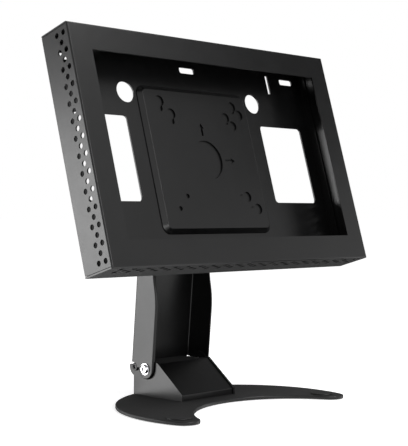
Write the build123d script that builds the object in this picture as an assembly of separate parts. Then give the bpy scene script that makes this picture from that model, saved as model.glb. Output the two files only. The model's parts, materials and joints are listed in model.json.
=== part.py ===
from build123d import *
import math
import os

# Tablet security kiosk stand: a perforated sheet metal shell on a tilting arm and a crescent base.
# Lengths are millimetres, angles degrees. +X is the viewer's right, +Y back, +Z up.
# The origin lies on the counter, in the middle of the footprint.

# Screen shell, one folded sheet that is open at the back
shell_width = 350.0
shell_height = 224.5
shell_depth = 37.5
shell_sheet = 1.5
shell_bend_radius = 1.6
bezel_side = 24.0
bezel_end = 24.5
corner_seam = 0.5
screen_tilt = 16.2

# Staggered vent holes in the four walls of the shell
vent_diameter = 5.2
vent_pitch = 16.0
vent_column_step = 4.7
vent_inset = 6.8
vent_end_margin = 8.0
vent_columns = 3

# Back panel, a shallow tray inside the shell walls
panel_sheet = 1.5
panel_rim_depth = 10.0
panel_gap = 0.2
panel_corner_notch = 3.0
window_width = 63.6
window_height = 84.0
window_corner_radius = 4.0
window_side_inset = 19.1
cable_hole_diameter = 21.0
cable_hole_side_inset = 87.2
cable_hole_top_inset = 46.2
hanger_slot_width = 20.0
hanger_slot_height = 6.4
hanger_slot_radius = 2.0
hanger_side_inset = 25.4
hanger_top_inset = 17.1
strap_slot_width = 3.8
strap_slot_height = 20.7
strap_side_inset = 55.6
strap_top_inset = 22.2

# Display plate, a raised square with keyhole slots for 75 and 100 millimetre display patterns
display_face = 139.0
display_rise = 4.0
display_flank = 4.7
display_foot = 0.8
display_sheet = 1.7
display_corner_radius = 4.5
display_edge_radius = 0.8
display_hole_diameter = 40.0
small_pattern = 75.0
large_pattern = 100.0
key_slot_width = 4.8
key_head_diameter = 11.0
key_travel = 8.3
arrow_start = 25.0
arrow_length = 13.2
arrow_head_length = 5.4
arrow_head_width = 6.4
arrow_stem_width = 2.6

# Flat backing plate between the back panel and the display plate, tapped for the head screws
backing_gap = 1.0

# Lock screws through the top wall into the panel rim
lock_screw_diameter = 4.0
lock_screw_side_inset = 65.0
lock_screw_ahead = 5.8
lock_head_diameter = 7.6
lock_head_height = 2.2
lock_socket = 2.5
lock_pin_diameter = 1.0
lock_nut_diameter = 7.9
lock_nut_height = 2.0

# Clips on the bottom wall that the panel's bottom rim slides under
clip_width = 20.0
clip_sheet = 1.5
clip_foot = 8.0
clip_overlap = 4.0
clip_gap = 0.2
clip_side_inset = 65.0

# Head bracket, the plate with two ears that carries the back panel
head_plate_width = 116.0
head_plate_height = 116.0
head_plate_radius = 8.0
head_sheet = 2.5
head_reach = 36.1
head_ear_radius = 12.0
head_ear_root = 58.0
head_hole_diameter = 40.0
head_screw_x = 22.0
head_screw_z = 42.0
head_screw_diameter = 5.0
head_screw_head_diameter = 9.5
head_screw_head_height = 2.75
head_screw_socket = 3.0
head_screw_end_gap = 0.3

# Arm, an upright channel that is open to the front
arm_lean = 5.2
arm_sheet = 2.5
arm_length = 195.3
arm_front_reach = 10.5
arm_rear_reach = 21.6
arm_top_front_reach = 2.9
arm_narrow_start = 57.0
arm_narrow_end = 109.0
arm_bend_radius = 2.0
arm_inner_bend_radius = 1.2
arm_web_above_shoulder = 0.1
arm_web_foot = 0.7
arm_web_below_top = 12.0

# Pivot hardware, the same at both ends of the arm
carrier_width = 73.0
pivot_diameter = 6.0
pivot_clearance = 0.08
pivot_head_diameter = 9.6
pivot_head_height = 2.4
pivot_socket = 4.0
pivot_washer_diameter = 11.6
pivot_washer_thickness = 0.8
friction_washer_diameter = 15.0
friction_washer_thickness = 0.5
pivot_nut_flats = 10.0
pivot_nut_height = 4.4
pivot_collar_diameter = 8.6
pivot_collar_height = 1.6

# Stop screws in the ears of the base bracket, which the arm leans back on
stop_back = 17.0
stop_up = 0.8
stop_diameter = 5.0
stop_head_diameter = 8.5
stop_head_height = 2.4
stop_socket = 4.0
stop_gap = 0.3
nut_flats = 8.0
nut_height = 4.0

# Base bracket, a folded wedge that straddles the arm foot
bracket_sheet = 2.5
bracket_front = 50.0
bracket_back = 20.7
pivot_height = 27.2
lip_height = 6.3
slope_top_ahead = 14.2
slope_top_up = 7.0
slope_recess = 0.9
slope_side_gap = 0.3
slope_bend_radius = 1.6
top_plate_back = 18.0
nut_notch_gap = 1.0
crown_radius = 12.0
ear_radius = 9.7
ear_flat_up = 2.6
ear_corner_radius = 1.0
foot_flange_width = 16.0
bracket_screw_ahead = 34.0
bracket_screw_behind = 8.0
bracket_screw_diameter = 5.0
bracket_screw_head_diameter = 9.6
bracket_screw_head_height = 2.3
bracket_screw_socket = 3.0

# Crescent base
base_sheet = 3.0
base_radius = 118.8
hollow_radius = 96.9
hollow_ahead = 76.4
tip_radius = 14.5
base_edge_radius = 0.7
pivot_behind_disc = 91.2
counter_hole_diameter = 6.6
counter_hole_inset = 17.1
cap_diameter = 23.0
cap_height = 1.2
cap_edge_radius = 0.6
foot_diameter = 20.0
foot_thickness = 0.8
foot_edge_inset = 8.0
foot_spread = 48.0

# Shared clearances
screw_hole_clearance = 0.25
thread_clearance = 0.05
countersink_clearance = 0.1
overrun = 2.0
socket_depth_share = 0.6
dome_share = 0.75
chamfer_share = 0.08

# Sizes worked out from the ones above
carrier_half = carrier_width / 2
arm_inner_half = carrier_half + friction_washer_thickness
arm_outer_half = arm_inner_half + arm_sheet
top_pivot_back = (arm_rear_reach - arm_top_front_reach) / 2
top_end_radius = (arm_rear_reach + arm_top_front_reach) / 2
base_top = foot_thickness + base_sheet
backing_thickness = display_rise - display_sheet


def between_arcs(radius):
    """Centre of the circle of that radius that touches the base's outer and inner arc, from the disc's."""
    outer_distance = base_radius - radius
    inner_distance = hollow_radius + radius
    y = (inner_distance**2 - outer_distance**2 - hollow_ahead**2) / (2 * hollow_ahead)
    return math.sqrt(outer_distance**2 - y**2), y


tip_x, tip_y = between_arcs(tip_radius)

# The footprint runs from the front of the tips to the back of the disc, and the origin is midway
disc_y = (tip_radius - tip_y - base_radius) / 2
pivot_y = disc_y + pivot_behind_disc
pivot_z = base_top + pivot_height

# Frames: the arm's starts at the lower pivot, the screen's at the middle of the shell's back plane
arm_frame = Pos(0, pivot_y, pivot_z) * Rot(arm_lean, 0, 0)
top_pivot = (arm_frame * Pos(0, top_pivot_back, arm_length)).position
screen_frame = Pos(0, top_pivot.Y, top_pivot.Z) * Rot(-screen_tilt, 0, 0) * Pos(0, -head_reach, 0)
base_pivot_frame = Pos(0, pivot_y, pivot_z)
disc_frame = Pos(0, disc_y, 0)

FROM_MIN = (Align.CENTER, Align.CENTER, Align.MIN)
BACK_OF = (Align.CENTER, Align.MAX, Align.CENTER)


def both_sides(sketch, plane, reach):
    """A cutter or plate with that outline, as far as reach on each side of the plane."""
    return extrude(plane * sketch, amount=reach, both=True)


def facing(part, side):
    """Turns a fastener whose head looks along +Z so that it looks to the right (1) or left (-1)."""
    return Rot(0, side * 90, 0) * part


def socket_screw(diameter, reach, head_diameter, head_height, socket):
    """A domed screw with a hexagon socket. The head stands on z = 0 and looks along +Z."""
    head = Cylinder(head_diameter / 2, head_height, align=FROM_MIN)
    rim = head.edges().filter_by(GeomType.CIRCLE).sort_by(Axis.Z)[-1]
    head = fillet(rim, dome_share * head_height)
    shank = Cylinder(diameter / 2, reach, align=(Align.CENTER, Align.CENTER, Align.MAX))
    depth = socket_depth_share * head_height
    recess = extrude(RegularPolygon(socket / 2, 6, major_radius=False), amount=depth + overrun)
    return head + shank - Pos(0, 0, head_height - depth) * recess


def hex_nut(flats, height, bore):
    """A hexagon nut that stands on z = 0."""
    outline = RegularPolygon(flats / 2, 6, major_radius=False) - Circle(bore / 2)
    return extrude(outline, amount=height)


def washer(outer_diameter, bore, thickness):
    """A flat washer that lies on z = 0."""
    return extrude(Circle(outer_diameter / 2) - Circle(bore / 2), amount=thickness)


def row_of_vents(length, columns_from_front):
    """Centres of one wall's vents: places along the wall, and depths behind the front face."""
    count = int((length - 2 * vent_end_margin) / vent_pitch) + 1
    centres = []
    for column in range(columns_from_front):
        shorter = column % 2
        holes = max(count - shorter, 1)
        start = -vent_pitch * (holes - 1) / 2
        depth = vent_inset + column * vent_column_step
        centres += [(start + hole * vent_pitch, depth) for hole in range(holes)]
    return centres


def front_shell():
    """The bezel and its four walls, folded from one sheet, in the screen frame."""
    body = Box(shell_width, shell_depth, shell_height, align=BACK_OF)
    front = body.faces().sort_by(Axis.Y)[0]
    body = fillet(front.edges(), min(shell_bend_radius, shell_depth / 2))
    inside_width = shell_width - 2 * shell_sheet
    inside_height = shell_height - 2 * shell_sheet
    inside = Box(inside_width, shell_depth, inside_height, align=BACK_OF)
    body -= Pos(0, shell_sheet, 0) * inside
    opening_width = shell_width - 2 * bezel_side
    opening_height = shell_height - 2 * bezel_end
    body -= Box(opening_width, 2 * shell_depth + overrun, opening_height)
    side_vents = Sketch() + [
        Pos(depth - shell_depth, along) * Circle(vent_diameter / 2)
        for along, depth in row_of_vents(shell_height, vent_columns)
    ]
    end_vents = Sketch() + [
        Pos(along, depth - shell_depth) * Circle(vent_diameter / 2)
        for along, depth in row_of_vents(shell_width, vent_columns)
    ]
    body -= both_sides(side_vents, Plane.YZ, shell_width / 2 + overrun)
    body -= both_sides(end_vents, Plane.XY, shell_height / 2 + overrun)
    # The ends of the side walls stop short of the top and bottom walls
    seam_depth = shell_depth - shell_bend_radius
    seam = Box(shell_sheet + overrun, seam_depth + overrun, corner_seam)
    seam_x = (shell_width - shell_sheet + overrun) / 2
    seam_z = shell_height / 2 - shell_sheet - corner_seam / 2
    for x in (-seam_x, seam_x):
        for z in (-seam_z, seam_z):
            body -= Pos(x, (overrun - seam_depth) / 2, z) * seam
    return body - lock_screw_holes()


def lock_screw_places():
    x = shell_width / 2 - lock_screw_side_inset
    return (-x, x)


def lock_screw_holes():
    """Cutters through the top wall and the panel's top rim."""
    hole = Cylinder(lock_screw_diameter / 2 + screw_hole_clearance, shell_height / 2, align=FROM_MIN)
    return [Pos(x, -lock_screw_ahead, shell_height / 4) * hole for x in lock_screw_places()]


def panel_cutouts():
    """Windows, cable holes and slots of the back panel, drawn as seen from the front."""
    half_width = shell_width / 2
    half_height = shell_height / 2
    window = RectangleRounded(window_width, window_height, window_corner_radius)
    hanger = RectangleRounded(hanger_slot_width, hanger_slot_height, hanger_slot_radius)
    strap = Rectangle(strap_slot_width, strap_slot_height)
    hanger_z = half_height - hanger_top_inset
    cuts = [Pos(0, hanger_z) * hanger]
    for side in (-1, 1):
        window_x = half_width - window_side_inset - window_width / 2
        cuts.append(Pos(side * window_x, 0) * window)
        hole_x = half_width - cable_hole_side_inset
        hole_z = half_height - cable_hole_top_inset
        cuts.append(Pos(side * hole_x, hole_z) * Circle(cable_hole_diameter / 2))
        cuts.append(Pos(side * (half_width - hanger_side_inset), hanger_z) * hanger)
    strap_x = half_width - strap_side_inset
    strap_z = half_height - strap_top_inset
    cuts.append(Pos(strap_x, strap_z) * strap)
    return Sketch() + cuts


def head_screw_places():
    return [(x, z) for x in (-head_screw_x, head_screw_x) for z in (-head_screw_z, head_screw_z)]


def back_panel():
    """The back panel with its forward rim, in the screen frame."""
    wall = shell_sheet + panel_gap
    width = shell_width - 2 * wall
    height = shell_height - 2 * wall
    body = Box(width, panel_rim_depth, height, align=BACK_OF)
    back = body.faces().sort_by(Axis.Y)[-1]
    body = fillet(back.edges(), min(panel_sheet, panel_rim_depth / 2))
    hollow = Box(width - 2 * panel_sheet, panel_rim_depth, height - 2 * panel_sheet, align=BACK_OF)
    body -= Pos(0, -panel_sheet, 0) * hollow
    notch = Box(2 * panel_corner_notch, panel_rim_depth, 2 * panel_corner_notch, align=BACK_OF)
    for x in (-width / 2, width / 2):
        for z in (-height / 2, height / 2):
            body -= Pos(x, -panel_sheet, z) * notch
    body -= both_sides(panel_cutouts(), Plane.XZ, panel_rim_depth)
    screw_radius = head_screw_diameter / 2 + screw_hole_clearance
    holes = Sketch() + [Pos(x, z) * Circle(screw_radius) for x, z in head_screw_places()]
    body -= both_sides(holes, Plane.XZ, panel_rim_depth)
    return body - lock_screw_holes()


def keyhole(x, z, directions):
    """A slot for a screw shank at x, z with a hole for its head key_travel away in each direction."""
    shape = Pos(x, z) * Circle(key_slot_width / 2)
    for across, up in directions:
        middle = Pos(x + across * key_travel / 2, z + up * key_travel / 2)
        length = key_travel if across else key_slot_width
        rise = key_travel if up else key_slot_width
        shape += middle * Rectangle(length, rise)
        shape += Pos(x + across * key_travel, z + up * key_travel) * Circle(key_head_diameter / 2)
    return shape


def arrow():
    """A plain arrow that points along +Y of its sketch and starts at the origin."""
    neck = arrow_length - arrow_head_length
    points = [
        (-arrow_stem_width / 2, 0),
        (arrow_stem_width / 2, 0),
        (arrow_stem_width / 2, neck),
        (arrow_head_width / 2, neck),
        (0, arrow_length),
        (-arrow_head_width / 2, neck),
        (-arrow_stem_width / 2, neck),
    ]
    return Polygon(*points, align=None)


def display_cutouts():
    """Keyholes, centre hole and direction arrows of the display plate, as seen from the front."""
    shapes = [Circle(display_hole_diameter / 2)]
    for half in (small_pattern / 2, large_pattern / 2):
        shapes.append(keyhole(-half, half, [(0, 1)]))
        shapes.append(keyhole(half, half, [(0, 1), (1, 0)]))
        shapes.append(keyhole(half, -half, [(1, 0)]))
        shapes.append(keyhole(-half, -half, []))
    shapes.append(Pos(0, arrow_start) * arrow())
    shapes.append(Pos(arrow_start, 0) * Rot(0, 0, -90) * arrow())
    return Sketch() + shapes


def frustum(base_side, top_side, base_radius_at, top_radius_at, base_y, top_y):
    """A rounded square that narrows from base_y forward to top_y."""
    base = Plane.XZ.offset(-base_y) * RectangleRounded(base_side, base_side, base_radius_at)
    top = Plane.XZ.offset(-top_y) * RectangleRounded(top_side, top_side, top_radius_at)
    return loft([base, top], ruled=True)


def display_inside():
    """Sides and corner radii of the room inside the display plate, at its back and under its face."""
    # The wall is as thick as the sheet, measured square to the sloping flank
    slope_rise = display_rise - display_foot
    wall_run = display_sheet * math.hypot(slope_rise, display_flank) / slope_rise
    back_inset = max(wall_run - display_flank * display_foot / slope_rise, display_sheet)
    face_inset = wall_run + display_flank * (slope_rise - display_sheet) / slope_rise
    outer_side = display_face + 2 * display_flank
    outer_radius = display_corner_radius + display_flank
    sides = (outer_side - 2 * back_inset, outer_side - 2 * face_inset)
    return *sides, outer_radius - back_inset, outer_radius - face_inset


def display_plate():
    """The pressed plate on the back panel: an upright foot, a sloping flank and a flat face."""
    back = -panel_sheet
    face = back - display_rise
    outer_side = display_face + 2 * display_flank
    outer_radius = display_corner_radius + display_flank
    shoulder = back - display_foot
    foot_outline = RectangleRounded(outer_side, outer_side, outer_radius)
    body = extrude(Plane.XZ.offset(-back) * foot_outline, amount=display_foot)
    body += frustum(outer_side, display_face, outer_radius, display_corner_radius, shoulder, face)
    front = body.faces().sort_by(Axis.Y)[0]
    body = fillet(front.edges(), min(display_edge_radius, display_sheet))
    body -= frustum(*display_inside(), back, face + display_sheet)
    body -= both_sides(display_cutouts(), Plane.XZ, shell_depth)
    return body


def backing_plate():
    """The flat plate that fills the display plate, with four tapped holes, in the screen frame."""
    _, face_side, _, face_radius = display_inside()
    side = face_side - 2 * backing_gap
    outline = RectangleRounded(side, side, max(face_radius - backing_gap, backing_gap))
    tapped_radius = head_screw_diameter / 2 + thread_clearance
    outline -= [Pos(x, z) * Circle(tapped_radius) for x, z in head_screw_places()]
    return extrude(Plane.XZ.offset(panel_sheet) * outline, amount=backing_thickness)


def lock_screws():
    """Tamper resistant screws: the socket keeps a small pin in its middle."""
    reach = shell_sheet + panel_gap + panel_sheet + lock_nut_height
    screw = socket_screw(
        lock_screw_diameter, reach, lock_head_diameter, lock_head_height, lock_socket
    )
    screw += Cylinder(lock_pin_diameter / 2, lock_head_height * socket_depth_share, align=FROM_MIN)
    return [Pos(x, -lock_screw_ahead, shell_height / 2) * screw for x in lock_screw_places()]


def lock_nuts():
    """Clinched nuts on the inner side of the panel's top rim."""
    nut = washer(lock_nut_diameter, lock_screw_diameter + 2 * thread_clearance, lock_nut_height)
    low = shell_height / 2 - shell_sheet - panel_gap - panel_sheet - lock_nut_height
    return [Pos(x, -lock_screw_ahead, low) * nut for x in lock_screw_places()]


def panel_clips():
    """Stepped clips on the bottom wall, each with a tongue over the panel's bottom rim."""
    wall = shell_sheet - shell_height / 2
    tongue_low = wall + panel_gap + panel_sheet + clip_gap
    tongue_high = tongue_low + clip_sheet
    foot_back = -panel_rim_depth - clip_gap
    foot_front = foot_back - clip_foot
    tongue_back = clip_overlap - panel_rim_depth
    points = [
        (foot_front, wall),
        (foot_back, wall),
        (foot_back, tongue_low),
        (tongue_back, tongue_low),
        (tongue_back, tongue_high),
        (foot_back - clip_sheet, tongue_high),
        (foot_back - clip_sheet, wall + clip_sheet),
        (foot_front, wall + clip_sheet),
    ]
    clip = both_sides(Polygon(*points, align=None), Plane.YZ, clip_width / 2)
    x = shell_width / 2 - clip_side_inset
    return [Pos(side * x, 0, 0) * clip for side in (-1, 1)]


def head_bracket():
    """The head plate against the back panel, with the two ears of the upper pivot."""
    outline = RectangleRounded(head_plate_width, head_plate_height, head_plate_radius)
    outline -= Circle(head_hole_diameter / 2)
    screw_radius = head_screw_diameter / 2 + screw_hole_clearance
    outline -= [Pos(x, z) * Circle(screw_radius) for x, z in head_screw_places()]
    body = extrude(Plane.XZ * outline, amount=-head_sheet)
    knuckle = Pos(head_reach, 0) * Circle(head_ear_radius)
    root = Pos(head_sheet, 0) * Rectangle(head_sheet, head_ear_root)
    ear_outline = make_hull(knuckle.edges() + root.edges())
    ear_outline -= Pos(head_reach, 0) * Circle(pivot_diameter / 2 + pivot_clearance)
    ear = extrude(Plane.YZ * ear_outline, amount=head_sheet)
    body += Pos(carrier_half - head_sheet, 0, 0) * ear
    body += Pos(-carrier_half, 0, 0) * ear
    return body


def head_screws():
    """Screws from the back through the head plate and the back panel into the backing plate."""
    reach = head_sheet + panel_sheet + backing_thickness - head_screw_end_gap
    screw = socket_screw(
        head_screw_diameter,
        reach,
        head_screw_head_diameter,
        head_screw_head_height,
        head_screw_socket,
    )
    return [Pos(x, head_sheet, z) * Rot(-90, 0, 0) * screw for x, z in head_screw_places()]


def arm_flange_outline():
    """One side of the arm in its own frame: sketch x runs back and sketch y up along the arm."""
    low = (-arm_front_reach, 0)
    bend_start = (-arm_front_reach, arm_narrow_start)
    bend_end = (-arm_top_front_reach, arm_narrow_end)
    bend_middle = (
        (bend_start[0] + bend_end[0]) / 2,
        (bend_start[1] + bend_end[1]) / 2,
    )
    top_front = (-arm_top_front_reach, arm_length)
    crown = (top_pivot_back, arm_length + top_end_radius)
    top_back = (arm_rear_reach, arm_length)
    back_low = (arm_rear_reach, 0)
    outline = Curve() + [
        Line(low, bend_start),
        TangentArc(bend_start, bend_middle, tangent=(0, 1)),
        TangentArc(bend_end, bend_middle, tangent=(0, -1)),
        Line(bend_end, top_front),
        ThreePointArc(top_front, crown, top_back),
        Line(top_back, back_low),
        Line(back_low, low),
    ]
    flange = make_face(outline) + Circle(arm_front_reach)
    # The shoulder behind the round foot rests on the stop screw's head
    stop_x, stop_y = stop_in_arm()
    shoulder = shoulder_height()
    flange -= Pos(stop_x, stop_y) * Circle(shoulder - stop_y)
    behind = arm_rear_reach - stop_x + overrun
    below = shoulder + arm_front_reach
    flange -= Pos(stop_x, shoulder) * Rectangle(behind, below, align=(Align.MIN, Align.MAX))
    return flange


def stop_in_arm():
    """The stop screw's axis at rest, seen in the arm's frame."""
    lean = math.radians(arm_lean)
    back = stop_back * math.cos(lean) + stop_up * math.sin(lean)
    up = stop_up * math.cos(lean) - stop_back * math.sin(lean)
    return back, up


def shoulder_height():
    """How high over the lower pivot the flanges' shoulder stands on the stop screw's head."""
    _, stop_y = stop_in_arm()
    return stop_y + stop_head_diameter / 2 + stop_gap


def arm_channel():
    """Two flanges on a back web, in the arm's frame."""
    flange_sketch = arm_flange_outline()
    hole = Circle(pivot_diameter / 2 + pivot_clearance)
    flange_sketch -= hole
    flange_sketch -= Pos(top_pivot_back, arm_length) * hole
    flange = extrude(Plane.YZ * flange_sketch, amount=arm_sheet)
    web_low = shoulder_height() + arm_web_above_shoulder
    web_height = arm_length - arm_web_below_top - web_low
    web = Box(2 * arm_inner_half, arm_sheet, web_height, align=(Align.CENTER, Align.MAX, Align.MIN))
    body = Pos(0, arm_rear_reach, web_low) * web
    body += Pos(arm_inner_half, 0, 0) * flange
    body += Pos(-arm_outer_half, 0, 0) * flange
    upright = body.edges().filter_by(Axis.Z)
    corner = [edge for edge in upright if is_at(edge, arm_outer_half, arm_rear_reach)]
    body = fillet(corner, min(arm_bend_radius, arm_sheet * (1 - chamfer_share)))
    upright = body.edges().filter_by(Axis.Z)
    inner = [edge for edge in upright if is_at(edge, arm_inner_half, arm_rear_reach - arm_sheet)]
    body = fillet(inner, arm_inner_bend_radius)
    # Between the bends the web reaches a little lower, behind the bracket's top plate
    foot_width = 2 * (arm_inner_half - arm_inner_bend_radius)
    foot = Box(foot_width, arm_sheet, arm_web_foot, align=(Align.CENTER, Align.MAX, Align.MAX))
    return body + Pos(0, arm_rear_reach, web_low) * foot


def is_at(edge, half, back):
    """Whether an upright edge of the arm stands at that half width and depth, on either side."""
    middle = edge.center()
    near = thread_clearance
    return abs(abs(middle.X) - half) < near and abs(middle.Y - back) < near


def pivot_screws(frame):
    """The two chromed screws of one pivot, each on its washer outside the arm."""
    seat = arm_outer_half + pivot_washer_thickness
    inside = carrier_half - bracket_sheet - pivot_nut_height - pivot_collar_height
    screw = socket_screw(
        pivot_diameter,
        seat - inside,
        pivot_head_diameter,
        pivot_head_height,
        pivot_socket,
    )
    return [frame * Pos(side * seat, 0, 0) * facing(screw, side) for side in (-1, 1)]


def pivot_washers(frame):
    bore = pivot_diameter + 2 * screw_hole_clearance
    ring = washer(pivot_washer_diameter, bore, pivot_washer_thickness)
    return [frame * Pos(side * arm_outer_half, 0, 0) * facing(ring, side) for side in (-1, 1)]


def friction_washers(frame):
    """Thin fibre washers between the arm and what it turns on."""
    bore = pivot_diameter + 2 * screw_hole_clearance
    ring = washer(friction_washer_diameter, bore, friction_washer_thickness)
    return [frame * Pos(side * carrier_half, 0, 0) * facing(ring, side) for side in (-1, 1)]


def pivot_nuts(frame):
    """Self locking nuts with a round collar, inside the ears."""
    bore = pivot_diameter + 2 * thread_clearance
    nut = hex_nut(pivot_nut_flats, pivot_nut_height, bore)
    collar = washer(pivot_collar_diameter, bore, pivot_collar_height)
    nut += Pos(0, 0, pivot_nut_height) * collar
    seat = carrier_half - bracket_sheet
    return [frame * Pos(side * seat, 0, 0) * facing(nut, -side) for side in (-1, 1)]


def cheek_outline():
    """One side of the base bracket: sketch x runs back and sketch y up, from the pivot."""
    points = [
        (-bracket_front, -pivot_height),
        (bracket_back, -pivot_height),
        (bracket_back, ear_flat_up),
        (0, ear_flat_up),
        (0, slope_top_up),
        (-slope_top_ahead, slope_top_up),
        (-bracket_front, lip_height - pivot_height),
    ]
    ear = Pos(stop_back, stop_up) * Circle(ear_radius)
    above = Rectangle(2 * ear_radius, 2 * ear_radius, align=(Align.CENTER, Align.MIN))
    ear -= Pos(stop_back, ear_flat_up) * above
    return Polygon(*points, align=None) + ear + Circle(crown_radius)


def wedge_outline(inset):
    """The bracket's front and top seen from the side, moved inwards by inset, to the top plate's end."""
    far = bracket_back + bracket_front
    points = [
        (-bracket_front, -pivot_height - far),
        (far, -pivot_height - far),
        (far, slope_top_up),
        (-slope_top_ahead, slope_top_up),
        (-bracket_front, lip_height - pivot_height),
    ]
    wedge = offset(Polygon(*points, align=None), -inset, kind=Kind.INTERSECTION)
    keep_width = bracket_front + top_plate_back
    keep = Rectangle(keep_width, pivot_height + far, align=(Align.MIN, Align.MIN))
    return wedge & (Pos(-bracket_front, -pivot_height) * keep)


def bracket_front_panel():
    """The lip, the slope and the top plate, whose back part is narrow to pass the nuts."""
    sketch = wedge_outline(slope_recess) - wedge_outline(slope_recess + bracket_sheet)
    panel = both_sides(sketch, Plane.YZ, carrier_half - bracket_sheet - slope_side_gap)
    across = panel.edges().filter_by(Axis.X)
    panel = fillet([edge for edge in across if is_outer_bend(edge)], slope_bend_radius)
    nut_ends = carrier_half - bracket_sheet - pivot_nut_height - pivot_collar_height
    narrow_width = 2 * (nut_ends - nut_notch_gap)
    notch_ahead = pivot_nut_flats / math.sqrt(3) + nut_notch_gap
    notch_length = notch_ahead + top_plate_back + overrun
    behind = (Align.CENTER, Align.MIN, Align.CENTER)
    notches = Box(carrier_width, notch_length, 2 * slope_top_up, align=behind)
    notches -= Box(narrow_width, notch_length, 2 * slope_top_up, align=behind)
    return panel - Pos(0, -notch_ahead, 0) * notches


def base_bracket():
    """Two cheeks, the front panel and two foot flanges, in the frame of the lower pivot."""
    cheek_sketch = cheek_outline()
    cheek_sketch -= Circle(pivot_diameter / 2 + pivot_clearance)
    cheek_sketch -= Pos(stop_back, stop_up) * Circle(stop_diameter / 2 + screw_hole_clearance)
    cheek = extrude(Plane.YZ * cheek_sketch, amount=bracket_sheet)
    inner_half = carrier_half - bracket_sheet
    body = Pos(inner_half, 0, 0) * cheek + Pos(-carrier_half, 0, 0) * cheek + bracket_front_panel()
    flange_length = bracket_front + bracket_back - slope_recess
    flange = Box(
        foot_flange_width,
        flange_length,
        bracket_sheet,
        align=(Align.CENTER, Align.MAX, Align.MIN),
    )
    flange_x = inner_half - foot_flange_width / 2
    for side in (-1, 1):
        body += Pos(side * flange_x, bracket_back, -pivot_height) * flange
    hole = Cylinder(bracket_screw_diameter / 2 + screw_hole_clearance, 2 * bracket_sheet + overrun)
    for x, y in bracket_screw_places():
        body -= Pos(x, y, -pivot_height) * hole
    return body


def is_outer_bend(edge):
    """Whether an edge across the front is one of the two outer bends of the slope."""
    middle = edge.center()
    near = bracket_sheet / 2
    low = abs(middle.Y + bracket_front - slope_recess) < thread_clearance
    low = low and abs(middle.Z - lip_height + pivot_height) < near
    high = abs(middle.Z - slope_top_up + slope_recess) < thread_clearance
    high = high and abs(middle.Y + slope_top_ahead) < near
    return low or high


def bracket_screw_places():
    x = carrier_half - bracket_sheet - foot_flange_width / 2
    return [(side * x, y) for side in (-1, 1) for y in (-bracket_screw_ahead, bracket_screw_behind)]


def stop_screws():
    """Black screws through the ears. Their heads are the arm's rest."""
    reach = bracket_sheet + nut_height
    screw = socket_screw(
        stop_diameter, reach, stop_head_diameter, stop_head_height, stop_socket
    )
    places = []
    for side in (-1, 1):
        place = Pos(side * carrier_half, stop_back, stop_up)
        places.append(place * facing(screw, side))
    return places


def stop_nuts():
    nut = hex_nut(nut_flats, nut_height, stop_diameter + 2 * thread_clearance)
    seat = carrier_half - bracket_sheet
    return [Pos(side * seat, stop_back, stop_up) * facing(nut, -side) for side in (-1, 1)]


def countersink(diameter, head_diameter, head_height, reach, growth):
    """A countersunk head and shank, with the wide end on z = 0 and the shank up, all wider by growth."""
    head = Cone(head_diameter / 2 + growth, diameter / 2 + growth, head_height, align=FROM_MIN)
    return head + Cylinder(diameter / 2 + growth, reach, align=FROM_MIN)


def bracket_screws():
    """Countersunk screws from under the base plate, flush with its underside."""
    reach = base_sheet + bracket_sheet + nut_height
    screw = countersink(
        bracket_screw_diameter, bracket_screw_head_diameter, bracket_screw_head_height, reach, 0
    )
    depth = socket_depth_share * bracket_screw_head_height
    screw -= extrude(RegularPolygon(bracket_screw_socket / 2, 6, major_radius=False), amount=depth)
    down = -pivot_height - base_sheet
    return [Pos(x, y, down) * screw for x, y in bracket_screw_places()]


def bracket_nuts():
    nut = hex_nut(nut_flats, nut_height, bracket_screw_diameter + 2 * thread_clearance)
    seat = bracket_sheet - pivot_height
    return [Pos(x, y, seat) * nut for x, y in bracket_screw_places()]


def unit_from(start, end):
    """Direction from one point of the base outline to another."""
    length = math.hypot(end[0] - start[0], end[1] - start[1])
    return ((end[0] - start[0]) / length, (end[1] - start[1]) / length)


def along(start, direction, distance):
    return (start[0] + direction[0] * distance, start[1] + direction[1] * distance)


def base_outline():
    """Crescent of an outer arc, an inner arc and two round tips, about the disc's centre."""
    disc = (0, 0)
    hollow = (0, -hollow_ahead)
    tip = (tip_x, tip_y)
    outer_end = along(disc, unit_from(disc, tip), base_radius)
    inner_end = along(hollow, unit_from(hollow, tip), hollow_radius)
    between = ((outer_end[0] + inner_end[0]) / 2, (outer_end[1] + inner_end[1]) / 2)
    tip_end = along(tip, unit_from(tip, between), tip_radius)
    mirrored = [(-x, y) for x, y in (outer_end, tip_end, inner_end)]
    outline = Curve() + [
        ThreePointArc(mirrored[0], (0, base_radius), outer_end),
        ThreePointArc(outer_end, tip_end, inner_end),
        ThreePointArc(inner_end, (0, hollow_radius - hollow_ahead), mirrored[2]),
        ThreePointArc(mirrored[2], mirrored[1], mirrored[0]),
    ]
    return make_face(outline)


def base_plate():
    """The steel crescent with its screw holes, in the disc's frame."""
    body = Pos(0, 0, foot_thickness) * extrude(base_outline(), amount=base_sheet)
    top = body.faces().sort_by(Axis.Z)[-1]
    body = fillet(top.edges(), min(base_edge_radius, base_sheet / 2))
    for x, y in counter_hole_places():
        body -= Pos(x, y, 0) * Cylinder(counter_hole_diameter / 2, 2 * base_top + overrun)
    cutter = countersink(
        bracket_screw_diameter,
        bracket_screw_head_diameter,
        bracket_screw_head_height,
        base_top,
        countersink_clearance,
    )
    for x, y in bracket_screw_places():
        body -= Pos(x, y + pivot_behind_disc, foot_thickness) * cutter
    return body


def counter_hole_places():
    """On the middle line of each leg, as far from the outer as from the inner arc."""
    x, y = between_arcs(counter_hole_inset)
    return [(side * x, y) for side in (-1, 1)]


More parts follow.
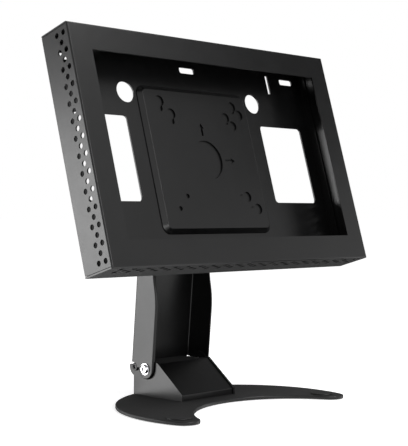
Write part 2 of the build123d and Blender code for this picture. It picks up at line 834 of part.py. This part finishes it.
def hole_caps():
    """Low round caps that cover the holes for fixing the base to a counter."""
    cap = Cylinder(cap_diameter / 2, cap_height, align=FROM_MIN)
    rim = cap.edges().filter_by(GeomType.CIRCLE).sort_by(Axis.Z)[-1]
    cap = fillet(rim, min(cap_edge_radius, cap_height / 2))
    return [Pos(x, y, base_top) * cap for x, y in counter_hole_places()]


def foot_pads():
    """Rubber pads: rings under the tips, round the counter holes, and discs under the back."""
    disc = Cylinder(foot_diameter / 2, foot_thickness, align=FROM_MIN)
    ring = washer(foot_diameter, counter_hole_diameter, foot_thickness)
    pads = [Pos(x, y, 0) * ring for x, y in counter_hole_places()]
    reach = base_radius - foot_edge_inset - foot_diameter / 2
    for turn in (-foot_spread, 0, foot_spread):
        angle = math.radians(turn)
        pads.append(Pos(reach * math.sin(angle), reach * math.cos(angle), 0) * disc)
    return pads


def placed(frame, parts):
    return [frame * part for part in parts]


screen = {
    "front_shell": [front_shell()],
    "back_panel": [back_panel()],
    "display_plate": [display_plate()],
    "backing_plate": [backing_plate()],
    "panel_lock_screws": lock_screws(),
    "panel_lock_nuts": lock_nuts(),
    "panel_clips": panel_clips(),
    "head_bracket": [head_bracket()],
    "head_screws": head_screws(),
}
top_pivot_frame = Pos(0, top_pivot_back, arm_length)
arm = {
    "arm_channel": [arm_channel()],
    "head_pivot_screws": pivot_screws(top_pivot_frame),
    "head_pivot_washers": pivot_washers(top_pivot_frame),
    "head_friction_washers": friction_washers(top_pivot_frame),
    "head_pivot_nuts": pivot_nuts(top_pivot_frame),
    "base_pivot_screws": pivot_screws(Pos(0, 0, 0)),
    "base_pivot_washers": pivot_washers(Pos(0, 0, 0)),
    "base_friction_washers": friction_washers(Pos(0, 0, 0)),
    "base_pivot_nuts": pivot_nuts(Pos(0, 0, 0)),
}
bracket = {
    "base_bracket": [base_bracket()],
    "stop_screws": stop_screws(),
    "stop_nuts": stop_nuts(),
    "bracket_screws": bracket_screws(),
    "bracket_nuts": bracket_nuts(),
}
base = {
    "base_plate": [base_plate()],
    "counter_hole_caps": hole_caps(),
    "foot_pads": foot_pads(),
}

os.makedirs("parts", exist_ok=True)
groups = (
    (screen_frame, screen),
    (arm_frame, arm),
    (base_pivot_frame, bracket),
    (disc_frame, base),
)
for frame, nodes in groups:
    for name, parts in nodes.items():
        solids = [solid for part in placed(frame, parts) for solid in part.solids()]
        export_step(Compound(children=solids), os.path.join("parts", name + ".step"))
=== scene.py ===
"""A tablet security kiosk stand in black powder coated steel: finishes, light and camera."""
import json
import math

import bpy
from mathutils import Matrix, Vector

# Camera, in the row frame. It looks level at 90 degrees, turned right of +Y by the yaw and down by the drop
CAMERA_PLACE = (-0.8005, -0.7987, 0.1844)
CAMERA_LEVEL = 90.0
CAMERA_YAW = 44.7
CAMERA_DROP = 0.43
CAMERA_LENS = 92.98
SENSOR = 36.0

# Shader values that are fully off or fully on
OFF = 0.0
FULL = 1.0
WHITE = (1.0, 1.0, 1.0, 1.0)
BLACK = (0.0, 0.0, 0.0, 1.0)

# Noise. Its scales are per metre, and most of its values lie in the middle stretch
FINE_DETAIL = 3.0
SOFT_DETAIL = 2.0
NOISE_ROUGHNESS = 0.55
MIDDLE_STRETCH = (0.3, 0.7)

# Powder coat
POWDER_DARK = (0.0014, 0.0014, 0.0015)
POWDER_LIGHT = (0.0028, 0.0028, 0.0030)
POWDER_CLOUD_SCALE = 14.0
POWDER_CLOUD_STRETCH = (0.35, 0.65)
POWDER_ROUGHNESS = (0.28, 0.31)
POWDER_ROUGHNESS_SCALE = 90.0
POWDER_SPECULAR = 0.32
POWDER_BUMP = 0.30
PEEL_SCALE = 700.0
PEEL_HEIGHT = 0.00004
GRAIN_SCALE = 4200.0
GRAIN_HEIGHT = 0.00001
# The grain scatters more where the coat is seen edge on: the stretch of facing, and what it adds
GRAZING_BLEND = 0.5
GRAZING_FACING = (0.50, 0.85)
GRAZING_ROUGHNESS = 0.60

# Plated and dull finishes: how far the roughness varies
ROUGHNESS_SPREAD = 0.12

# Plated finishes. Each has its colour, its roughness and the strength of its bumps
CHROME_SCREW = ((0.78, 0.78, 0.80), 0.10, 0.1)
ZINC_NUT = ((0.60, 0.60, 0.60), 0.30, 0.3)
PLATED_DARKER_SHARE = 0.82
PLATED_SPOT_SCALE = 700.0
PLATED_ROUGHNESS_SCALE = 1500.0
PLATED_MARK_SCALE = 2600.0
PLATED_MARK_HEIGHT = 0.00003

# Dull finishes. Each has its colour, its roughness, the strength of its bumps and the scale of its noise
BLACK_SCREW = ((0.008, 0.008, 0.009), 0.30, 0.2, 1500.0)
FIBRE_WASHER = ((0.04, 0.035, 0.03), 0.70, 0.6, 2500.0)
CAP_PLASTIC = ((0.0014, 0.0014, 0.0015), 0.26, 0.2, 1800.0)
RUBBER_PAD = ((0.02, 0.02, 0.02), 0.75, 0.5, 2000.0)
DULL_LIGHTER_SHARE = 2
DULL_STRETCH = (0.35, 0.7)
# The patches of colour are this many times as broad as the noise, and the grain this many times as fine
DULL_PATCH_SHARE = 6
DULL_GRAIN_SHARE = 2
DULL_GRAIN_HEIGHT = 0.00005

# Studio
AMBIENT = 0.60
FLOOR_COLOUR = (0.85, 0.85, 0.85, 1.0)
FLOOR_ROUGHNESS = 0.9
FLOOR_GLOW = 0.62
FLOOR_SIZE = 60.0
# Each lamp has its place, what it faces, its width and height, and its power
LAMPS = {
    "left_softbox": ((-1.15, 0.95, 0.14), (0.0, 0.0, 0.14), (0.80, 0.50), 10.4),
    "top_softbox": ((0.45, -0.65, 1.45), (0.0, 0.0, 0.2), (0.5, 0.5), 11.0),
    "front_softbox": ((-0.94, -2.21, 0.60), (0.0, 0.0, 0.15), (1.1, 0.6), 12.0),
    "ridge_softbox": ((0.34, -1.91, 1.18), (0.0, 0.0, 0.15), (0.35, 0.90), 12.0),
}
# Cards that only gloss sees. Each has its level, 0 for black, and its corners
CARDS = {
    "left_floor_card": (
        6.0,
        [(-0.05, 0.09, 0.001), (-0.80, 1.15, 0.001), (-1.32, 0.48, 0.001), (-0.10, 0.03, 0.001)],
    ),
    "back_floor_flag": (
        0.0,
        [(-0.10, 0.12, 0.001), (0.28, 0.12, 0.001), (0.28, 0.60, 0.001), (-0.10, 0.60, 0.001)],
    ),
    "front_floor_flag": (
        0.0,
        [(0.14, -0.28, 0.001), (0.32, -0.28, 0.001), (0.32, 0.05, 0.001), (0.14, 0.05, 0.001)],
    ),
    "right_flag": (
        0.0,
        [(2.5, -0.2, 1.1), (1.97, -1.54, 1.1), (1.97, -1.54, 2.4), (2.5, -0.2, 2.4)],
    ),
    "back_flag": (
        0.4,
        [(2.5, -0.2, 1.0), (1.2, 2.2, 1.0), (1.2, 2.2, 2.4), (2.5, -0.2, 2.4)],
    ),
    "ceiling_flag": (
        0.0,
        [(-1.6, -0.2, 2.4), (2.6, -0.2, 2.4), (2.6, 3.0, 2.4), (-1.6, 3.0, 2.4)],
    ),
    "low_back_flag": (
        0.45,
        [(-0.35, 0.60, 0.0), (1.6, 0.60, 0.0), (1.6, 0.60, 0.30), (-0.35, 0.60, 0.30)],
    ),
}

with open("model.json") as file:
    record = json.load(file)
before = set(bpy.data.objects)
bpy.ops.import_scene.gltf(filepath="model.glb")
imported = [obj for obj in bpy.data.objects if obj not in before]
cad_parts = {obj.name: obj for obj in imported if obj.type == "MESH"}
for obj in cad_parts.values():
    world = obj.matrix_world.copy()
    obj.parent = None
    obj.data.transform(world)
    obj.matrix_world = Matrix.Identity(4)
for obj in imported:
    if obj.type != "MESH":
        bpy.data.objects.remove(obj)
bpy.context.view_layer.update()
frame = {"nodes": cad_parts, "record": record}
nodes = frame["nodes"]


def new_material(name):
    """An empty node material, its tree and its Principled shader."""
    material = bpy.data.materials.new(name)
    material.use_nodes = True
    tree = material.node_tree
    return material, tree, tree.nodes["Principled BSDF"]


def add(tree, kind, **values):
    """A new node. Each value goes to the input of that name, or else to the node's property."""
    node = tree.nodes.new(kind)
    for key, value in values.items():
        if key in node.inputs:
            node.inputs[key].default_value = value
        else:
            setattr(node, key, value)
    return node


def noise(tree, scale, detail=FINE_DETAIL):
    """A noise texture that stays on its piece when the piece moves."""
    place = add(tree, "ShaderNodeTexCoord")
    texture = add(tree, "ShaderNodeTexNoise", Scale=scale, Detail=detail, Roughness=NOISE_ROUGHNESS)
    tree.links.new(place.outputs["Object"], texture.inputs["Vector"])
    return texture.outputs["Fac"]


def ramp(tree, source, stretch, low, high):
    """A colour from low to high over that stretch of the source."""
    node = add(tree, "ShaderNodeValToRGB")
    for element, position, colour in zip(node.color_ramp.elements, stretch, (low, high)):
        element.position = position
        element.color = (*colour, FULL)
    tree.links.new(source, node.inputs["Fac"])
    return node.outputs["Color"]


def spread(tree, source, stretch, low, high):
    """A value from low to high over that stretch of the source."""
    node = add(tree, "ShaderNodeMapRange")
    start, end = stretch
    node.inputs["From Min"].default_value = start
    node.inputs["From Max"].default_value = end
    node.inputs["To Min"].default_value = low
    node.inputs["To Max"].default_value = high
    tree.links.new(source, node.inputs["Value"])
    return node.outputs["Result"]


def bump(tree, shader, layers):
    """Bumps laid over each other. Each layer is a height source, a distance in metres and a strength."""
    normal = None
    for height, distance, strength in layers:
        node = add(tree, "ShaderNodeBump", Strength=strength, Distance=distance)
        tree.links.new(height, node.inputs["Height"])
        if normal is not None:
            tree.links.new(normal, node.inputs["Normal"])
        normal = node.outputs["Normal"]
    tree.links.new(normal, shader.inputs["Normal"])


def coat_roughness(tree, shader, base):
    """The base roughness, and more where the surface is seen edge on."""
    facing = add(tree, "ShaderNodeLayerWeight", Blend=GRAZING_BLEND).outputs["Facing"]
    grazing = spread(tree, facing, GRAZING_FACING, OFF, GRAZING_ROUGHNESS)
    rough = add(tree, "ShaderNodeMath", operation="ADD")
    tree.links.new(base, rough.inputs[0])
    tree.links.new(grazing, rough.inputs[1])
    tree.links.new(rough.outputs["Value"], shader.inputs["Roughness"])


def powder_coat():
    """Satin black powder coat: a fine dry grain over a soft orange peel."""
    material, tree, shader = new_material("powder_coat")
    clouds = noise(tree, POWDER_CLOUD_SCALE, SOFT_DETAIL)
    colour = ramp(tree, clouds, POWDER_CLOUD_STRETCH, POWDER_DARK, POWDER_LIGHT)
    tree.links.new(colour, shader.inputs["Base Color"])
    patches = noise(tree, POWDER_ROUGHNESS_SCALE)
    coat_roughness(tree, shader, spread(tree, patches, MIDDLE_STRETCH, *POWDER_ROUGHNESS))
    peel = (noise(tree, PEEL_SCALE, SOFT_DETAIL), PEEL_HEIGHT, POWDER_BUMP)
    grain = (noise(tree, GRAIN_SCALE, SOFT_DETAIL), GRAIN_HEIGHT, POWDER_BUMP)
    bump(tree, shader, [peel, grain])
    shader.inputs["Specular IOR Level"].default_value = POWDER_SPECULAR
    return material


def plated(name, colour, roughness, strength):
    """Plated steel with faint turning marks."""
    material, tree, shader = new_material(name)
    spots = noise(tree, PLATED_SPOT_SCALE, SOFT_DETAIL)
    darker = tuple(channel * PLATED_DARKER_SHARE for channel in colour)
    tree.links.new(ramp(tree, spots, MIDDLE_STRETCH, darker, colour), shader.inputs["Base Color"])
    shader.inputs["Metallic"].default_value = FULL
    patches = noise(tree, PLATED_ROUGHNESS_SCALE)
    rough = spread(tree, patches, MIDDLE_STRETCH, roughness, roughness + ROUGHNESS_SPREAD)
    tree.links.new(rough, shader.inputs["Roughness"])
    bump(tree, shader, [(noise(tree, PLATED_MARK_SCALE), PLATED_MARK_HEIGHT, strength)])
    return material


def dull(name, colour, roughness, strength, scale):
    """Black oxide, fibre, rubber or plastic with a matt grain."""
    material, tree, shader = new_material(name)
    lighter = tuple(channel * DULL_LIGHTER_SHARE for channel in colour)
    patches = noise(tree, scale / DULL_PATCH_SHARE)
    tree.links.new(ramp(tree, patches, DULL_STRETCH, colour, lighter), shader.inputs["Base Color"])
    rough = spread(tree, noise(tree, scale), MIDDLE_STRETCH, roughness, roughness + ROUGHNESS_SPREAD)
    coat_roughness(tree, shader, rough)
    bump(tree, shader, [(noise(tree, scale * DULL_GRAIN_SHARE), DULL_GRAIN_HEIGHT, strength)])
    shader.inputs["Specular IOR Level"].default_value = POWDER_SPECULAR
    return material


FINISHES = {
    "powder_coat": powder_coat(),
    "black_screw": dull("black_screw", *BLACK_SCREW),
    "chrome_screw": plated("chrome_screw", *CHROME_SCREW),
    "zinc_nut": plated("zinc_nut", *ZINC_NUT),
    "fibre_washer": dull("fibre_washer", *FIBRE_WASHER),
    "cap_plastic": dull("cap_plastic", *CAP_PLASTIC),
    "rubber_pad": dull("rubber_pad", *RUBBER_PAD),
}
for subpart in frame["record"]["subparts"]:
    piece = nodes[subpart["node"]]
    piece.data.materials.clear()
    piece.data.materials.append(FINISHES[subpart["material_slot"]])


def background_rays(tree):
    """1 for the rays that see the background: from the camera, off gloss and through glass."""
    path = add(tree, "ShaderNodeLightPath")
    seen = path.outputs["Is Camera Ray"]
    for kind in ("Is Glossy Ray", "Is Transmission Ray"):
        either = add(tree, "ShaderNodeMath", operation="MAXIMUM")
        tree.links.new(seen, either.inputs[0])
        tree.links.new(path.outputs[kind], either.inputs[1])
        seen = either.outputs["Value"]
    return seen


def floor():
    """A white floor that runs out of the picture and keeps the object's soft shadow."""
    bpy.ops.mesh.primitive_plane_add(size=FLOOR_SIZE)
    plane = bpy.context.object
    plane.name = "studio_floor"
    material, tree, shader = new_material("studio_floor")
    shader.inputs["Base Color"].default_value = FLOOR_COLOUR
    shader.inputs["Roughness"].default_value = FLOOR_ROUGHNESS
    shader.inputs["Specular IOR Level"].default_value = OFF
    shader.inputs["Emission Color"].default_value = WHITE
    glow = add(tree, "ShaderNodeMath", operation="MULTIPLY")
    glow.inputs[1].default_value = FLOOR_GLOW
    tree.links.new(background_rays(tree), glow.inputs[0])
    tree.links.new(glow.outputs["Value"], shader.inputs["Emission Strength"])
    plane.data.materials.append(material)


def backdrop():
    """White all round behind the object, and a plain level of light from everywhere."""
    world = bpy.data.worlds.new("studio")
    bpy.context.scene.world = world
    world.use_nodes = True
    tree = world.node_tree
    seen = tree.nodes["Background"]
    seen.inputs["Color"].default_value = WHITE
    seen.inputs["Strength"].default_value = FULL
    ambient = add(tree, "ShaderNodeBackground", Strength=AMBIENT)
    mix = add(tree, "ShaderNodeMixShader")
    tree.links.new(background_rays(tree), mix.inputs["Fac"])
    tree.links.new(ambient.outputs["Background"], mix.inputs[1])
    tree.links.new(seen.outputs["Background"], mix.inputs[2])
    tree.links.new(mix.outputs["Shader"], tree.nodes["World Output"].inputs["Surface"])


def lamp(name, place, target, size, power):
    """A rectangular soft box that faces its target."""
    data = bpy.data.lights.new(name, "AREA")
    data.shape = "RECTANGLE"
    data.size, data.size_y = size
    data.energy = power
    light = bpy.data.objects.new(name, data)
    bpy.context.scene.collection.objects.link(light)
    light.location = place
    light.visible_camera = False
    light.rotation_euler = (Vector(target) - Vector(place)).to_track_quat("-Z", "Y").to_euler()


def card(name, level, corners):
    """A card that only gloss sees, which lights or darkens the coat's reflections."""
    material, _, shader = new_material(name)
    shader.inputs["Base Color"].default_value = BLACK
    shader.inputs["Specular IOR Level"].default_value = OFF
    shader.inputs["Emission Color"].default_value = WHITE
    shader.inputs["Emission Strength"].default_value = level
    mesh = bpy.data.meshes.new(name)
    mesh.from_pydata(corners, [], [(0, 1, 2, 3)])
    mesh.materials.append(material)
    piece = bpy.data.objects.new(name, mesh)
    bpy.context.scene.collection.objects.link(piece)
    piece.visible_camera = False
    piece.visible_diffuse = False
    piece.visible_transmission = False
    piece.visible_shadow = False


def camera():
    """The photograph's point of view."""
    data = bpy.data.cameras.new("camera")
    data.lens = CAMERA_LENS
    data.sensor_width = SENSOR
    data.sensor_fit = "AUTO"
    view = bpy.data.objects.new("camera", data)
    bpy.context.scene.collection.objects.link(view)
    view.location = CAMERA_PLACE
    view.rotation_euler = (math.radians(CAMERA_LEVEL - CAMERA_DROP), 0.0, math.radians(-CAMERA_YAW))
    bpy.context.scene.camera = view


floor()
backdrop()
for name, (level, corners) in CARDS.items():
    card(name, level, corners)
for name, (place, target, size, power) in LAMPS.items():
    lamp(name, place, target, size, power)
camera()
bpy.context.scene.view_settings.view_transform = "Standard"
